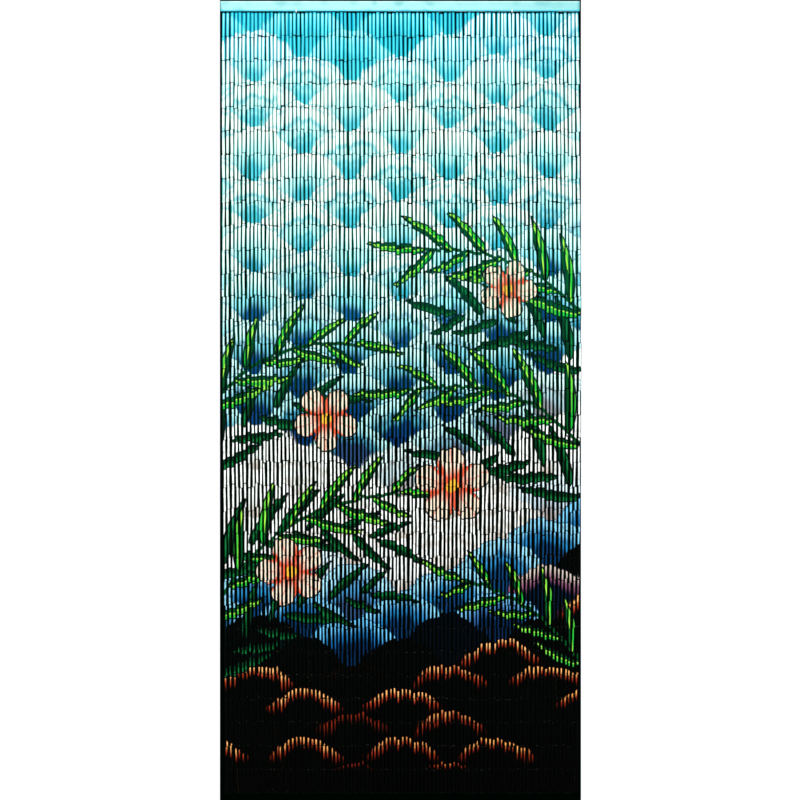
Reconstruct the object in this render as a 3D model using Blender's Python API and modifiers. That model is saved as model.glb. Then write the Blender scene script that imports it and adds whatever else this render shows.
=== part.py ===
"""Beaded door curtain of painted bamboo tubes, hanging from a flat wooden rail.

Metres, +Z up. The front faces -Y, and the origin is the middle of the rail's back face.
Ninety strands of short tubes hang side by side. Each strand is one slim four-sided solid at its
true place, lean and length, fused at its root into a narrow strip just under the rail.
"""

import math
import random

import bmesh
import bpy

# The hanging rail, a flat slat on edge
RAIL_LENGTH = 0.914
RAIL_HEIGHT = 0.0254
RAIL_THICKNESS = 0.012
RAIL_EDGE_ROUND = 0.0015

# The strip that joins the strands' roots, where the real links leave the rail
PIECE_GAP = 0.0003
STRIP_HEIGHT = 0.0012
STRIP_DEPTH = 0.0036
STRIP_LENGTH = 0.908
WELD_DISTANCE = 0.00001

# The strands
STRAND_COUNT = 90
TUBE_DIAMETER = 0.0085
MOUTH_DIAMETER = 0.0060
SHOULDER = 0.0018
LINK_DIAMETER = 0.0018
LINK_DROP = 0.0048
STRAND_LENGTH = 1.9870
LENGTH_SPREAD = 0.0040
SEGMENTS = 6

# Where the strands hang along the rail: the strand's number from the left, and its place.
# Those between two rows are spaced evenly, so that the stretches are a little tighter or looser.
HANGING_PLACES = (
    (0, -0.4478),
    (6, -0.3857),
    (18, -0.2686),
    (19, -0.2577),
    (31, -0.1385),
    (36, -0.0866),
    (45, 0.0028),
    (51, 0.0652),
    (60, 0.1553),
    (68, 0.2386),
    (72, 0.2780),
    (80, 0.3600),
    (89, 0.4506),
)

# How unevenly the strands hang. The right side bows outwards half way down and the lower left
# corner has swung in: for each place along the rail, the sideways shift at each ring from the top.
ROOT_JITTER = 0.0003
SIDEWAYS_SHIFTS = (
    (-0.440, (0.0, -0.0015, -0.0013, -0.0002, 0.0030, 0.0066, 0.0092)),
    (-0.195, (0.0, 0.0000, 0.0000, 0.0000, 0.0023, 0.0036, 0.0048)),
    (0.013, (0.0, 0.0008, 0.0020, 0.0025, 0.0025, 0.0025, 0.0025)),
    (0.222, (0.0, 0.0023, 0.0036, 0.0050, 0.0036, 0.0020, 0.0002)),
    (0.430, (0.0, 0.0030, 0.0056, 0.0061, 0.0046, 0.0008, -0.0023)),
)
SWAY = 0.0004
SWAY_WAVES = 1.3
LEAST_GAP = 0.0004
HANG_SEED = 90

# Colours and finish
RAIL_COLOUR = (0.45, 0.95, 0.92, 1.0)
STRAND_COLOUR = (0.03, 0.48, 0.60, 1.0)
PAINT_ROUGHNESS = 0.45

RAIL_BOTTOM = -RAIL_HEIGHT / 2
RAIL_MIDDLE_Y = -RAIL_THICKNESS / 2
STRIP_TOP = RAIL_BOTTOM - PIECE_GAP
STRAND_TOP = RAIL_BOTTOM - LINK_DROP


def clear_scene():
    for thing in list(bpy.data.objects):
        bpy.data.objects.remove(thing)


def painted(name, colour):
    material = bpy.data.materials.new(name)
    material.use_nodes = True
    shader = material.node_tree.nodes["Principled BSDF"]
    shader.inputs["Base Color"].default_value = colour
    shader.inputs["Roughness"].default_value = PAINT_ROUGHNESS
    shader.inputs["Metallic"].default_value = 0.0
    return material


def add_box(name, size, centre, collection):
    """A box of this size about its own centre, placed by its location."""
    mesh = bpy.data.meshes.new(name)
    box = bmesh.new()
    bmesh.ops.create_cube(box, size=1.0)
    bmesh.ops.scale(box, vec=size, verts=box.verts)
    box.to_mesh(mesh)
    box.free()
    thing = bpy.data.objects.new(name, mesh)
    thing.location = centre
    collection.objects.link(thing)
    return thing


def interpolated(rows, wanted):
    """The value at the wanted place, on straight lines between rows of place and value."""
    for (low, low_value), (high, high_value) in zip(rows[:-1], rows[1:]):
        if wanted <= high:
            break
    share = min(max((wanted - low) / (high - low), 0.0), 1.0)
    return low_value + (high_value - low_value) * share


def strand_places():
    """Each strand's place along the rail, with a little drilling error."""
    chance = random.Random(HANG_SEED)
    return [
        interpolated(HANGING_PLACES, strand) + chance.uniform(-ROOT_JITTER, ROOT_JITTER)
        for strand in range(STRAND_COUNT)
    ]


def hang_offset(root_x, ring, phase):
    """How far sideways a strand hangs at this ring."""
    shift = interpolated([(x, shifts[ring]) for x, shifts in SIDEWAYS_SHIFTS], root_x)
    turn = 2 * math.pi * SWAY_WAVES * ring / SEGMENTS
    return shift + SWAY * math.sin(turn + phase) - SWAY * math.sin(phase)


def hanging_strands():
    """Each strand's length and its place at every ring. Strands that would cross push the next one on."""
    chance = random.Random(HANG_SEED + 1)
    strands = []
    for root_x in strand_places():
        length = STRAND_LENGTH - chance.uniform(0.0, LENGTH_SPREAD)
        phase = chance.uniform(0.0, 2 * math.pi)
        row = [root_x + hang_offset(root_x, ring, phase) for ring in range(SEGMENTS + 1)]
        if strands:
            nearest = [x + TUBE_DIAMETER + LEAST_GAP for x in strands[-1]["row"]]
            row = [max(x, least) for x, least in zip(row, nearest)]
        strands.append({"length": length, "row": row})
    return strands


def strand_points(length, row):
    """Centre points and radii down one strand: the link in the strip, then the tubes' run."""
    link = LINK_DIAMETER / 2
    mouth = MOUTH_DIAMETER / 2
    tube = TUBE_DIAMETER / 2
    top_x = row[0]
    bottom_x = row[-1]
    points = [
        (top_x, STRIP_TOP - STRIP_HEIGHT / 2, link),
        (top_x, STRAND_TOP + LINK_DIAMETER / 4, link),
        (top_x, STRAND_TOP, mouth),
    ]
    run = length - 2 * SHOULDER
    for ring, x in enumerate(row):
        drop = SHOULDER + run * ring / SEGMENTS
        points.append((x, STRAND_TOP - drop, tube))
    points.append((bottom_x, STRAND_TOP - length, mouth))
    return points


def add_strand_tubes(name, collection):
    """All strands as one curve object with a spline for each, turned into a closed mesh."""
    curve = bpy.data.curves.new(name, "CURVE")
    curve.dimensions = "3D"
    curve.bevel_depth = 1.0
    curve.bevel_resolution = 0
    curve.use_fill_caps = True
    for strand in hanging_strands():
        points = strand_points(strand["length"], strand["row"])
        spline = curve.splines.new("POLY")
        spline.points.add(len(points) - 1)
        for point, (x, z, radius) in zip(spline.points, points):
            point.co = (x, RAIL_MIDDLE_Y, z, 1.0)
            point.radius = radius
    guide = bpy.data.objects.new(name + "_guide", curve)
    collection.objects.link(guide)
    bpy.context.view_layer.update()
    graph = bpy.context.evaluated_depsgraph_get()
    mesh = bpy.data.meshes.new_from_object(guide.evaluated_get(graph))
    body = bmesh.new()
    body.from_mesh(mesh)
    bmesh.ops.remove_doubles(body, verts=body.verts, dist=WELD_DISTANCE)
    bmesh.ops.recalc_face_normals(body, faces=body.faces)
    body.to_mesh(mesh)
    body.free()
    bpy.data.objects.remove(guide)
    tubes = bpy.data.objects.new(name, mesh)
    collection.objects.link(tubes)
    return tubes


def build_rail(collection):
    rail = add_box(
        "rail",
        (RAIL_LENGTH, RAIL_THICKNESS, RAIL_HEIGHT),
        (0.0, RAIL_MIDDLE_Y, 0.0),
        collection,
    )
    rounding = rail.modifiers.new("edge_round", "BEVEL")
    rounding.width = RAIL_EDGE_ROUND
    rounding.segments = 2
    rail.data.materials.append(painted("rail_paint", RAIL_COLOUR))
    return rail


def build_strands(collection, helpers):
    strip = add_box(
        "strands",
        (STRIP_LENGTH, STRIP_DEPTH, STRIP_HEIGHT),
        (0.0, RAIL_MIDDLE_Y, STRIP_TOP - STRIP_HEIGHT / 2),
        collection,
    )
    tubes = add_strand_tubes("strand_tubes", helpers)
    tubes.hide_render = True
    tubes.display_type = "WIRE"
    fuse = strip.modifiers.new("fuse_roots", "BOOLEAN")
    fuse.operation = "UNION"
    fuse.object = tubes
    strip.data.materials.append(painted("strand_paint", STRAND_COLOUR))
    return strip


def main():
    clear_scene()
    curtain = bpy.data.collections.new("bamboo_bead_curtain")
    helpers = bpy.data.collections.new("helpers")
    bpy.context.scene.collection.children.link(curtain)
    bpy.context.scene.collection.children.link(helpers)
    build_rail(curtain)
    build_strands(curtain, helpers)


main()
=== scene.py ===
"""The looks of a bamboo bead door curtain: painted tubes on wire links under a flat wooden rail.

Metres, +Z up, front towards -Y, origin in the middle of the rail's back face.
Each strand's place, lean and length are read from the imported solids. The tubes, links and rail
are meshes made here, and the paint is a pattern of overlapping scales, leaves and blossoms.
"""

import math

import bmesh
import bpy
import numpy as np
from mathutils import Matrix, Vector


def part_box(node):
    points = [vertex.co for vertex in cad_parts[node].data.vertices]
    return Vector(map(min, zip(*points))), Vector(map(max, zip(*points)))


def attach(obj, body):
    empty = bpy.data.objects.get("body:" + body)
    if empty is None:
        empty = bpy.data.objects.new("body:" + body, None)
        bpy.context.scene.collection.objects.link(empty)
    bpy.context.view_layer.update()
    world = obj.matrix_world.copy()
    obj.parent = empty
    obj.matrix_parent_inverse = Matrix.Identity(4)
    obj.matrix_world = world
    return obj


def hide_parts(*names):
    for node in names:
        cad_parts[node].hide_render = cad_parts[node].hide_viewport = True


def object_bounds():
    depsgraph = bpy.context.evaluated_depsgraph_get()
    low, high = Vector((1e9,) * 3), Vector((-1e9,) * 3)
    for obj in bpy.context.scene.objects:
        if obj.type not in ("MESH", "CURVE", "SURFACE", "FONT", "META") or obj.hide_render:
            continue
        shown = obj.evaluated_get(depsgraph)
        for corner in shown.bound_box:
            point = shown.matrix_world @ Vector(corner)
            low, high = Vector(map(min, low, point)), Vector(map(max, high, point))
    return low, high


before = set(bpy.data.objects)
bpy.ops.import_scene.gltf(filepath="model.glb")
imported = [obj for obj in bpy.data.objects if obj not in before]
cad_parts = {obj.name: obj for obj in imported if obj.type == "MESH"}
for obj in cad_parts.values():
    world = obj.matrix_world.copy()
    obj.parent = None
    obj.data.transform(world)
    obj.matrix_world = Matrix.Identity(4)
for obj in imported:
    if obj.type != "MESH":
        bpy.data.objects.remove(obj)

cad_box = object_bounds()
rail_low, rail_high = (Vector(corner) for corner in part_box("rail"))

# The photograph's frame
PHOTO_SIDE = 800
RAIL_PIXELS = 359
RAIL_TOP_ROW = 1.3
LENS_MM = 100.0
SENSOR_MM = 36.0
METRES_A_PIXEL = (rail_high.x - rail_low.x) / RAIL_PIXELS

# The studio: its floor, the dark card far behind the curtain, and how bright the world is as a
# light and as the backdrop. The card's columns are those of the photograph's dark ground.
FLOOR_DROP = 0.30
FLOOR_FROM = -4.4
FLOOR_TO = 1.4
FLOOR_SIDE = 8.0
CARD_AWAY = 7.0
CARD_OVERLAP = 1.004
AMBIENT = 0.32
BACKDROP = 1.1
CARD_COLOUR = (0.0003, 0.0036, 0.0014, 1.0)
CARD_COLUMNS = (219.9, 581.0)
FLOOR_COLOUR = (0.80, 0.80, 0.79, 1.0)
SKY_COLOUR = (0.95, 0.97, 1.0, 1.0)

# Lights: name, place, size and power
LIGHTS = (
    ("key", (-0.3, -4.6, 0.3), (1.6, 3.0), 250.0),
    ("back", (0.8, 3.6, 0.6), (2.0, 2.0), 60.0),
)

# Tubes
TUBES_A_STRAND = 33
TUBE_SIDES = 10
TUBE_RADIUS = 0.0049
THINNEST_SHARE = 0.75
TOUCH_GAP = 0.0003
PUSH_ROUNDS = 60
LINK_DROP = 0.0040
TOP_UNEVEN = 0.0010
LARGEST_UNEVEN = 0.0016
LOW_TOP_SHARE = 0.09
LOW_TOP_DROP = 0.0036
LEAST_LOW = 0.4
END_SHOULDER = 0.0018
JOINT_GAP = 0.0002
JOINT_GAP_SPREAD = 0.0011
WIDE_JOINT_SHARE = 0.14
WIDE_JOINT = 0.0026
LEAST_WIDE = 0.3
JOINT_WANDER = 0.00045
LARGEST_WANDER = 0.0011
STRAND_DRIFT = 0.00055
DRIFT_PLACES = 6
DRIFT_AT_FOOT = 1.7
TUBE_TURN = math.radians(11)
BORE_RADIUS = 0.0023
STRANDS_A_PIECE = 5
MAP_COLUMNS = 15
TUBE_SEED = 11
LEAF_SEED = 511
SHADED_SEED = 611
RAIL_SEED = 911

# How unevenly the joints sit from strand to strand
SHIFT_AT_TOP = 0.0026
SHIFT_AT_MIDDLE = 0.0046
SHIFT_FULLNESS = 0.7
FADE_JOINTS = 4.0
JOINT_NOISE = 0.0009
PAINT_SHIFT = 0.0022

# A tube's end from its bore outwards: distance in from the end and share of the radius, where
# 0 stands for the bore. The run between the two ends has rings of the full radius.
TUBE_END = ((0.0, 0.0), (0.0, 0.70), (0.0006, 0.88), (0.0022, 1.0))
RUN_RINGS = 5
RING_COUNT = 2 * len(TUBE_END) + RUN_RINGS

# How unevenly a tube has grown, as shares of its radius
MEAN_SWELL = 0.985
TAPER = 0.06
WAIST = 0.10
RING_SWELL = 0.014

# What stands for the distance from a tube's end inside its bore
IN_THE_BORE = -0.001

# Where a face's shading breaks
TUBE_SHARP = math.radians(60)
RAIL_SHARP = math.radians(50)

# A tube's cell on the flat map: its margin, and where each ring lies up its height, with room for
# the bore, the mouths, the shoulders and the long run
MAP_MARGIN = 0.06
MAP_HEIGHTS = (0.04, 0.07, 0.09, 0.12, 0.25, 0.38, 0.50, 0.62, 0.75, 0.88, 0.91, 0.93, 0.96, 1.0)

# Wire links
ALONG_RAIL = (1.0, 0.0, 0.0)
OUT_OF_RAIL = (0.0, 1.0, 0.0)
WIRE_RADIUS = 0.00045
WIRE_SIDES = 3
EYE_HALF_WIDTH = 0.0011
EYE_DEPTH = 0.0010
EYE_LEG = 0.0040
EYE_BEND = ((-1.0, 0.45), (-0.55, -0.65), (0.55, -0.65), (1.0, 0.45))

# Rail
RAIL_CORNER = 0.0009
RAIL_CORNER_STEPS = 4
RAIL_STATIONS = 150
RAIL_UNEVEN = 0.00022
UNEVEN_REACH = 9
UNEVEN_INSET = 100.0
# How far in from the rail's end a station is, and how full its section is there
RAIL_ENDS = ((0.0, 0.80), (0.0003, 0.90), (0.0008, 0.96), (RAIL_CORNER, 1.0))
END_FLATTEN = 0.5
END_LOWER = 0.25
STAPLE_LEG = 0.0030
# How far below the rail the tubes' tops take the teal of carried-over paint and painted shade
STAIN_AND_SHADE_FROM = 0.0055
STAIN_AND_SHADE_TO = 0.0085

# The two pale points that show under the rail
POINT_PLACES = (-0.264, 0.285)
POINT_LENGTH = 0.0078
POINT_RADIUS = 0.0021
POINT_TIP = 0.0007
POINT_ABOVE_EDGE = 0.0032
POINT_SIDES = 20
POINT_RIM = math.radians(60)
POINT_ROUND = POINT_TIP * 0.6

# The painted pattern: overlapping scales, in rows half a radius apart
SCALE_RADIUS = 0.124
CURTAIN_DROP = 2.0

# Leafy branches: start, end, how far it bows, pairs of leaves and a leaf's length
BRANCHES = (
    ((0.5, -0.84), (0.06, -0.62), -0.07, 6, 0.185),
    ((0.5, -1.18), (0.02, -0.98), -0.09, 6, 0.18),
    ((-0.5, -1.04), (-0.12, -0.86), 0.06, 5, 0.165),
    ((-0.5, -1.58), (0.0, -1.24), 0.09, 7, 0.175),
    ((0.5, -1.74), (0.16, -1.46), -0.05, 5, 0.16),
)
SHADED_BRANCHES = (
    ((0.5, -0.98), (0.14, -0.78), -0.05, 5, 0.17),
    ((0.5, -1.3), (0.14, -1.14), -0.06, 5, 0.165),
    ((-0.5, -1.2), (-0.2, -1.0), 0.05, 4, 0.16),
    ((-0.5, -1.46), (-0.06, -1.36), 0.07, 6, 0.17),
    ((-0.5, -1.72), (-0.08, -1.5), 0.06, 6, 0.16),
)
LEAF_SLANT = math.radians(44)
SLANT_SPREAD = 0.16
LEAF_BEND = 0.16
LEAF_TAPER = 0.3
LEAF_SPREAD = 0.12
LAST_LEAF_SHARE = 0.8
LEAF_HALF_WIDTH = 0.21
LEAF_FOOT_POWER = 0.65
LEAF_TIP_POWER = 0.9
LEAF_NEAR = 1.3
STEM_NEAR = 0.03

# Edges and lines of leaves and stems, as distances from their outline or middle
EDGE_WIDTH = 0.0012
LEAF_LINE = (-0.0035, -0.002)
RIB_LINE = (0.0022, 0.001)
LEAF_TIP = (0.2, 1.0)
LEAF_TIP_LIGHT = 0.6
STEM_LINE = (0.005, 0.0036)

# Blossoms: x, z, radius and turn
BLOSSOMS = (
    (-0.19, -1.05, 0.082, 0.3),
    (0.13, -1.22, 0.096, 0.9),
    (0.27, -0.72, 0.074, 0.1),
    (-0.28, -1.44, 0.088, 0.65),
)
PETALS = 5
PETAL_POWER = 0.55
PETAL_DEPTH = 0.54
BLOSSOM_LINE = (-0.004, -0.0025)
CREAM_FROM = (0.16, 0.6)
PETAL_RIB = (0.1, 0.02)
PETAL_RIB_SHARE = 0.6
PETAL_GAP = (0.8, 0.98)
HEART_EDGE = (0.19, 0.15)

# How far round a tube the picture's paint reaches, as the cosine of the angle from its front
PAINT_REACH = (
    (0.0, 0.91), (0.18, 0.9), (0.3, 0.85), (0.5, 0.83), (0.66, 0.76),
    (0.8, 0.52), (0.905, 0.26),
)

# Paints, for each height of the curtain from its foot (0) to its rail (1)
BODY_PAINT = (
    (0.0, (0.0001, 0.0001, 0.0001)),
    (0.16, (0.0002, 0.0001, 0.0001)),
    (0.195, (0.003, 0.03, 0.1)),
    (0.255, (0.006, 0.07, 0.19)),
    (0.285, (0.64, 0.56, 0.49)),
    (0.41, (0.6, 0.56, 0.49)),
    (0.44, (0.004, 0.06, 0.19)),
    (0.56, (0.005, 0.072, 0.24)),
    (0.635, (0.012, 0.14, 0.36)),
    (0.68, (0.08, 0.52, 0.64)),
    (0.908, (0.15, 0.64, 0.7)),
    (0.932, (0.11, 0.68, 0.74)),
    (1.0, (0.08, 0.66, 0.73)),
)
INNER_PAINT = (
    (0.0, (0.26, 0.026, 0.01)),
    (0.16, (0.44, 0.052, 0.018)),
    (0.195, (0.012, 0.16, 0.4)),
    (0.255, (0.04, 0.3, 0.56)),
    (0.285, (0.84, 0.86, 0.84)),
    (0.41, (0.82, 0.87, 0.84)),
    (0.44, (0.04, 0.34, 0.48)),
    (0.63, (0.36, 0.79, 0.86)),
    (0.68, (0.5, 0.84, 0.86)),
    (0.908, (0.6, 0.88, 0.88)),
    (0.932, (0.2, 0.79, 0.83)),
    (1.0, (0.15, 0.76, 0.81)),
)
EDGE_PAINT = (
    (0.0, (0.98, 0.48, 0.15)),
    (0.16, (1.0, 0.58, 0.24)),
    (0.195, (0.16, 0.56, 0.86)),
    (0.255, (0.42, 0.78, 0.9)),
    (0.285, (0.94, 0.95, 0.93)),
    (0.41, (0.93, 0.96, 0.94)),
    (0.44, (0.52, 0.9, 0.88)),
    (0.64, (0.82, 0.93, 0.92)),
    (0.68, (0.93, 0.94, 0.91)),
    (0.908, (0.94, 0.95, 0.92)),
    (0.932, (0.42, 0.89, 0.89)),
    (1.0, (0.29, 0.85, 0.87)),
)

# Where the lit part of a scale starts, as a share of its radius
LIT_FROM = (
    (0.0, 0.78), (0.16, 0.74), (0.2, 0.44), (0.255, 0.34), (0.285, 0.0),
    (0.41, 0.0), (0.44, 0.5), (0.52, 0.32), (0.63, 0.14), (0.68, 0.1),
    (0.78, 0.2), (0.88, 0.12), (0.912, 0.1), (0.935, 0.5),
)

# How strongly arcs are drawn inside the scales
ARCS = (
    (0.0, 0.0), (0.19, 0.0), (0.22, 0.35), (0.3, 0.6), (0.41, 0.6),
    (0.45, 0.35), (0.64, 0.35), (0.68, 0.55), (0.9, 0.55), (0.95, 0.3),
)
ARC_STEP = 0.31
OWN_BY_ROW = 7.31
OWN_BY_COLUMN = 3.17

# Brushwork of the scales. Heights are shares of the curtain's, and reaches of a scale's radius.
WOBBLE_X = {"stretch": (1.0, 1.0, 1.0), "scale": 7.0, "size": 0.050}
WOBBLE_Z = {"stretch": (1.0, 0.6, 0.0), "scale": 9.0, "size": 0.060}
BAND_WAVES = 6.5
BAND_START = 1.0
BAND_SWELL = 0.035
BAND_SLOPE = 0.13
OWN_HEIGHT = 0.035
SCALE_STREAKS = (700.0, 14.0, 0.0)
STROKE_REACH = 0.16
FULLY_LIT = 0.97
SCALE_EDGE = (0.992, 0.972)
LIT_INNER = (0.0, 0.34)
LIT_EDGE = (0.3, 0.95)
ARC_OFFSET = 0.03
ARC_SHOWS = (0.35, 0.85)
ARC_SCALES = (0.4, 0.7)
ARC_ENDS = (0.96, 0.9)

# Near the foot only some scales are lit, and only along their crests
CREST_BELOW = 0.18
CREST_FADE = 0.01
CREST_RISE = (0.5, 0.92)
CREST_SCALES = (0.34, 0.62)
UNLIT_FOOT = (0.028, 0.042)

# The dye that runs round a tube's sides, for each height
UNDERCOAT = (
    (0.0, (0.0002, 0.0003, 0.0002)),
    (0.3, (0.0004, 0.0018, 0.0009)),
    (0.45, (0.001, 0.006, 0.003)),
    (0.58, (0.001, 0.05, 0.026)),
    (0.7, (0.001, 0.13, 0.08)),
    (0.82, (0.001, 0.16, 0.11)),
    (0.92, (0.001, 0.28, 0.3)),
    (1.0, (0.001, 0.39, 0.58)),
)

# What the picture's paint is dimmed by towards a tube's sides: painted shade, and the dye showing
# through the thinner paint there
SIDE_DYE_AND_SHADE_TINT = (
    (0.0, (0.9, 0.9, 0.9)),
    (0.48, (0.88, 0.94, 0.92)),
    (0.62, (0.46, 0.91, 0.84)),
    (0.86, (0.62, 0.92, 0.88)),
    (0.912, (0.45, 0.87, 0.88)),
    (0.935, (0.05, 0.71, 0.87)),
    (1.0, (0.01, 0.68, 0.88)),
)
SIDE_DYE_AND_SHADE_TINT_RISE = 2.2
# How strongly the picture deepens towards a tube's sides, as painted shade
SIDE_SHADE_GAMMA = 2.6

# Brush streaks, grain and wear of a tube, and how dark they make its picture
TUBE_STREAKS = (1500.0, 22.0, 0.0)
STREAK_SHADE = 0.3
TONE_SHADE = 0.14
LEAST_SHADE = 0.78
BAMBOO_GRAIN = (1400.0, 1400.0, 16.0)
PAINT_FRAY = (260.0, 260.0, 60.0)
FRAY_REACH = 0.3
DYE_EDGE = (-0.62, -0.42)
COAT_EDGE = (-0.08, 0.06)
BORE_EDGE = (-0.0004, -0.0008)
CHIP_LEVEL = 0.48
CHIP_DEPTH = 0.0022
CHIP_EDGE = 0.0003
# How far round and how strongly the tubes' tops take that teal of carried-over paint and painted shade
STAIN_AND_SHADE_ROUND = (-0.5, -0.2)
STAIN_AND_SHADE_STRENGTH = 0.85

# Single paints
LEAF_GREEN = (0.02, 0.52, 0.06)
LEAF_LIGHT = (0.42, 0.82, 0.1)
LEAF_DARK = (0.002, 0.11, 0.025)
LEAF_SHADE = (0.002, 0.055, 0.02)
LEAF_SHADE_EDGE = (0.01, 0.2, 0.06)
LINE_PAINT = (0.001, 0.01, 0.012)
# Carried-over paint and painted shade on the tubes' tops under the rail
TOP_STAIN_AND_SHADE = (0.001, 0.46, 0.6)
CORAL = (0.78, 0.13, 0.06)
BLOSSOM_CREAM = (0.88, 0.76, 0.62)
HEART = (0.9, 0.52, 0.06)
BAMBOO_DARK = (0.26, 0.15, 0.055)
BAMBOO_PALE = (0.56, 0.39, 0.19)
# Bare bamboo in the bore, darkened as painted shade
BORE_SHADE_BROWN = (0.022, 0.013, 0.006)
WIRE_PAINT = ((0.002, 0.12, 0.18), (0.01, 0.34, 0.43))
STEEL = ((0.012, 0.012, 0.011), (0.07, 0.068, 0.062))
POINT_PAINT = ((0.62, 0.68, 0.66), (0.8, 0.84, 0.82))

# The rail's paints, and how its streaks, patches, grain and wear are stretched
RAIL_STREAKS = ((0.11, 0.46, 0.47), (0.26, 0.62, 0.61))
RAIL_PATCH = (0.08, 0.42, 0.45)
RAIL_WOOD = ((0.3, 0.19, 0.09), (0.58, 0.42, 0.24))
STREAK_STRETCH = (7.0, 420.0, 420.0)
PATCH_STRETCH = (9.0, 30.0, 60.0)
GRAIN_STRETCH = (14.0, 900.0, 900.0)
WEAR_STRETCH = (60.0, 220.0, 220.0)
WORN = (0.74, 0.80)

# Its upper part, lighter as a painted highlight, and its lower edge and underside, a deeper teal as
# painted shade: from which height to which, strength and paint
RAIL_HIGHLIGHT_AND_SHADE_BANDS = (
    (rail_high.z - 0.0060, rail_high.z - 0.0020, 0.70, (0.38, 0.68, 0.66)),
    (rail_low.z + 0.0046, rail_low.z + 0.0022, 0.90, (0.002, 0.52, 0.64)),
    (rail_low.z + 0.0010, rail_low.z + 0.0002, 1.0, (0.001, 0.44, 0.58)),
)


def placed(name, data):
    """A new object with this mesh, light or camera, linked to the scene."""
    thing = bpy.data.objects.new(name, data)
    bpy.context.collection.objects.link(thing)
    return thing


def add_camera():
    """A level camera square to the curtain, framed as the photograph is."""
    distance = PHOTO_SIDE * METRES_A_PIXEL * LENS_MM / SENSOR_MM
    height = rail_high.z - (PHOTO_SIDE / 2 - RAIL_TOP_ROW) * METRES_A_PIXEL
    lens = bpy.data.cameras.new("camera")
    lens.lens = LENS_MM
    lens.sensor_width = SENSOR_MM
    lens.clip_end = 100.0
    camera = placed("camera", lens)
    camera.location = (0.0, (rail_low.y + rail_high.y) / 2 - distance, height)
    camera.rotation_euler = (math.pi / 2, 0.0, 0.0)
    bpy.context.scene.camera = camera
    return camera


# Small helpers for shader nodes


class Value:
    """A shader socket that can be added, subtracted, multiplied and divided like a number."""

    def __init__(self, socket):
        self.socket = socket

    def __add__(self, other):
        return math_node("ADD", self, other)

    def __sub__(self, other):
        return math_node("SUBTRACT", self, other)

    def __rsub__(self, other):
        return math_node("SUBTRACT", other, self)

    def __mul__(self, other):
        return math_node("MULTIPLY", self, other)

    def __truediv__(self, other):
        return math_node("DIVIDE", self, other)


def new_material(name):
    material = bpy.data.materials.new(name)
    material.use_nodes = True
    tree = material.node_tree
    return material, tree, tree.nodes["Principled BSDF"]


def new_node(kind, *values):
    """A node in the tree that the first shader value among these belongs to."""
    tree = next(value.socket.id_data for value in values if isinstance(value, Value))
    return tree.nodes.new(kind)


def plug(socket, value):
    """Links a socket, or sets it where the value is a number, a vector or a colour."""
    if isinstance(value, Value):
        socket.id_data.links.new(value.socket, socket)
    elif hasattr(socket.default_value, "__len__"):
        wanted = len(socket.default_value)
        socket.default_value = (tuple(value) + (1.0,))[:wanted]
    else:
        socket.default_value = value


def math_node(operation, *values):
    node = new_node("ShaderNodeMath", *values)
    node.operation = operation
    for socket, value in zip(node.inputs, values):
        plug(socket, value)
    return Value(node.outputs[0])


def vector_math(operation, vector, other, socket=1):
    node = new_node("ShaderNodeVectorMath", vector)
    node.operation = operation
    plug(node.inputs[0], vector)
    plug(node.inputs[socket], other)
    return Value(node.outputs[0])


def stretched(vector, factors):
    return vector_math("MULTIPLY", vector, factors)


def between(value, low, high):
    """0 at low, 1 at high, smooth in between."""
    node = new_node("ShaderNodeMapRange", value)
    node.interpolation_type = "SMOOTHSTEP"
    plug(node.inputs["Value"], value)
    node.inputs["From Min"].default_value = low
    node.inputs["From Max"].default_value = high
    return Value(node.outputs["Result"])


def clamped(value):
    node = new_node("ShaderNodeClamp", value)
    plug(node.inputs["Value"], value)
    return Value(node.outputs["Result"])


def mix(share, a, b, kind="RGBA", inputs=(0, 6, 7), output=2):
    """One colour to the other."""
    node = new_node("ShaderNodeMix", share)
    node.data_type = kind
    for socket, value in zip(inputs, (share, a, b)):
        plug(node.inputs[socket], value)
    return Value(node.outputs[output])


def choose(share, a, b):
    """One number to the other."""
    return mix(share, a, b, "FLOAT", (0, 2, 3), 0)


def noise(vector, scale, detail=2.0, roughness=0.5):
    node = new_node("ShaderNodeTexNoise", vector)
    plug(node.inputs["Vector"], vector)
    node.inputs["Scale"].default_value = scale
    node.inputs["Detail"].default_value = detail
    node.inputs["Roughness"].default_value = roughness
    return Value(node.outputs["Fac"])


def separated(vector):
    """A vector's three parts."""
    node = new_node("ShaderNodeSeparateXYZ", vector)
    plug(node.inputs[0], vector)
    return tuple(Value(socket) for socket in node.outputs)


def attribute(tree, name):
    """A named attribute as a vector and as its three parts."""
    node = tree.nodes.new("ShaderNodeAttribute")
    node.attribute_name = name
    vector = Value(node.outputs["Vector"])
    return vector, *separated(vector)


def object_place(tree):
    return Value(tree.nodes.new("ShaderNodeTexCoord").outputs["Object"])


def colour_ramp(share, stops):
    node = new_node("ShaderNodeValToRGB", share)
    plug(node.inputs[0], share)
    elements = node.color_ramp.elements
    while len(elements) > 1:
        elements.remove(elements[-1])
    elements[0].position, elements[0].color = stops[0][0], (*stops[0][1], 1.0)
    for position, colour in stops[1:]:
        elements.new(position).color = (*colour, 1.0)
    return Value(node.outputs[0])


def number_ramp(share, stops):
    """A ramp of plain numbers, as greys."""
    return colour_ramp(share, [(position, (value,) * 3) for position, value in stops])


def bump(height, strength, distance, normal=None):
    node = new_node("ShaderNodeBump", height)
    node.inputs["Strength"].default_value = strength
    node.inputs["Distance"].default_value = distance
    plug(node.inputs["Height"], height)
    if normal is not None:
        plug(node.inputs["Normal"], normal)
    return Value(node.outputs[0])


# Strands and tubes


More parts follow.
